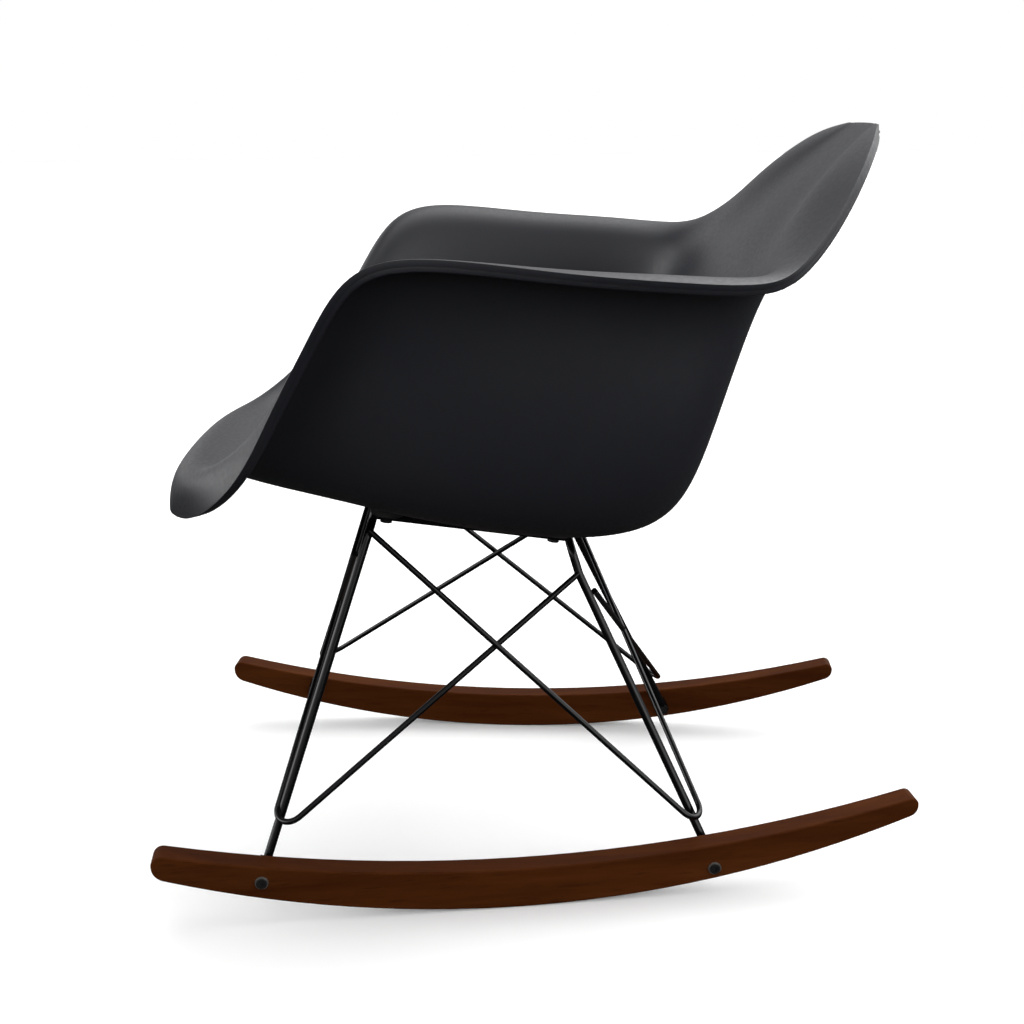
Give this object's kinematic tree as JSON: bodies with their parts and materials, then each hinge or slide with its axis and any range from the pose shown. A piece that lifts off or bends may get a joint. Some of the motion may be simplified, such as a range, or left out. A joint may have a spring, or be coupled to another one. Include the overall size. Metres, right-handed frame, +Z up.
{
  "type": "moulded plastic rocking chair",
  "caption": "Armchair rocking chair with a one-piece moulded plastic bucket shell on a braced steel rod base with curved wooden rockers.",
  "frame": {"origin": "on the floor, midway between the rockers, at the points where they touch the floor when the empty chair is at rest", "axes": "+X to the sitter's left, -Y the front of the chair, +Z up"},
  "size_m": [0.6228, 0.6971, 0.6829],
  "materials": {
    "shell": "fine satin moulding, black",
    "rubber": "matt",
    "rocker_wood": "dark walnut stain under satin lacquer",
    "insert": "turned",
    "base_steel": "black powder coat",
    "fastener": "black oxide"
  },
  "bodies": {
    "root": {"brace_front_left": "base_steel", "brace_front_right": "base_steel", "brace_rear_left": "base_steel", "brace_rear_right": "base_steel", "foot_tab_front_left": "base_steel", "foot_tab_front_right": "base_steel", "foot_tab_rear_left": "base_steel", "foot_tab_rear_right": "base_steel", "front_leg_frame": "base_steel", "rear_leg_frame": "base_steel", "rocker_bolt_front_left": "fastener", "rocker_bolt_front_right": "fastener", "rocker_bolt_rear_left": "fastener", "rocker_bolt_rear_right": "fastener", "rocker_left": "rocker_wood", "rocker_nut_front_left": "fastener", "rocker_nut_front_right": "fastener", "rocker_nut_rear_left": "fastener", "rocker_nut_rear_right": "fastener", "rocker_right": "rocker_wood", "rocker_washer_front_left": "fastener", "rocker_washer_front_right": "fastener", "rocker_washer_rear_left": "fastener", "rocker_washer_rear_right": "fastener", "rubber_spacer_front_left": "rubber", "rubber_spacer_front_right": "rubber", "rubber_spacer_rear_left": "rubber", "rubber_spacer_rear_right": "rubber", "seat_rail_left": "base_steel", "seat_rail_right": "base_steel", "seat_screw_front_left": "fastener", "seat_screw_front_right": "fastener", "seat_screw_rear_left": "fastener", "seat_screw_rear_right": "fastener", "seat_shell": "shell", "seat_washer_front_left": "fastener", "seat_washer_front_right": "fastener", "seat_washer_rear_left": "fastener", "seat_washer_rear_right": "fastener", "threaded_insert_front_left": "insert", "threaded_insert_front_right": "insert", "threaded_insert_rear_left": "insert", "threaded_insert_rear_right": "insert"}
  },
  "joints": []
}
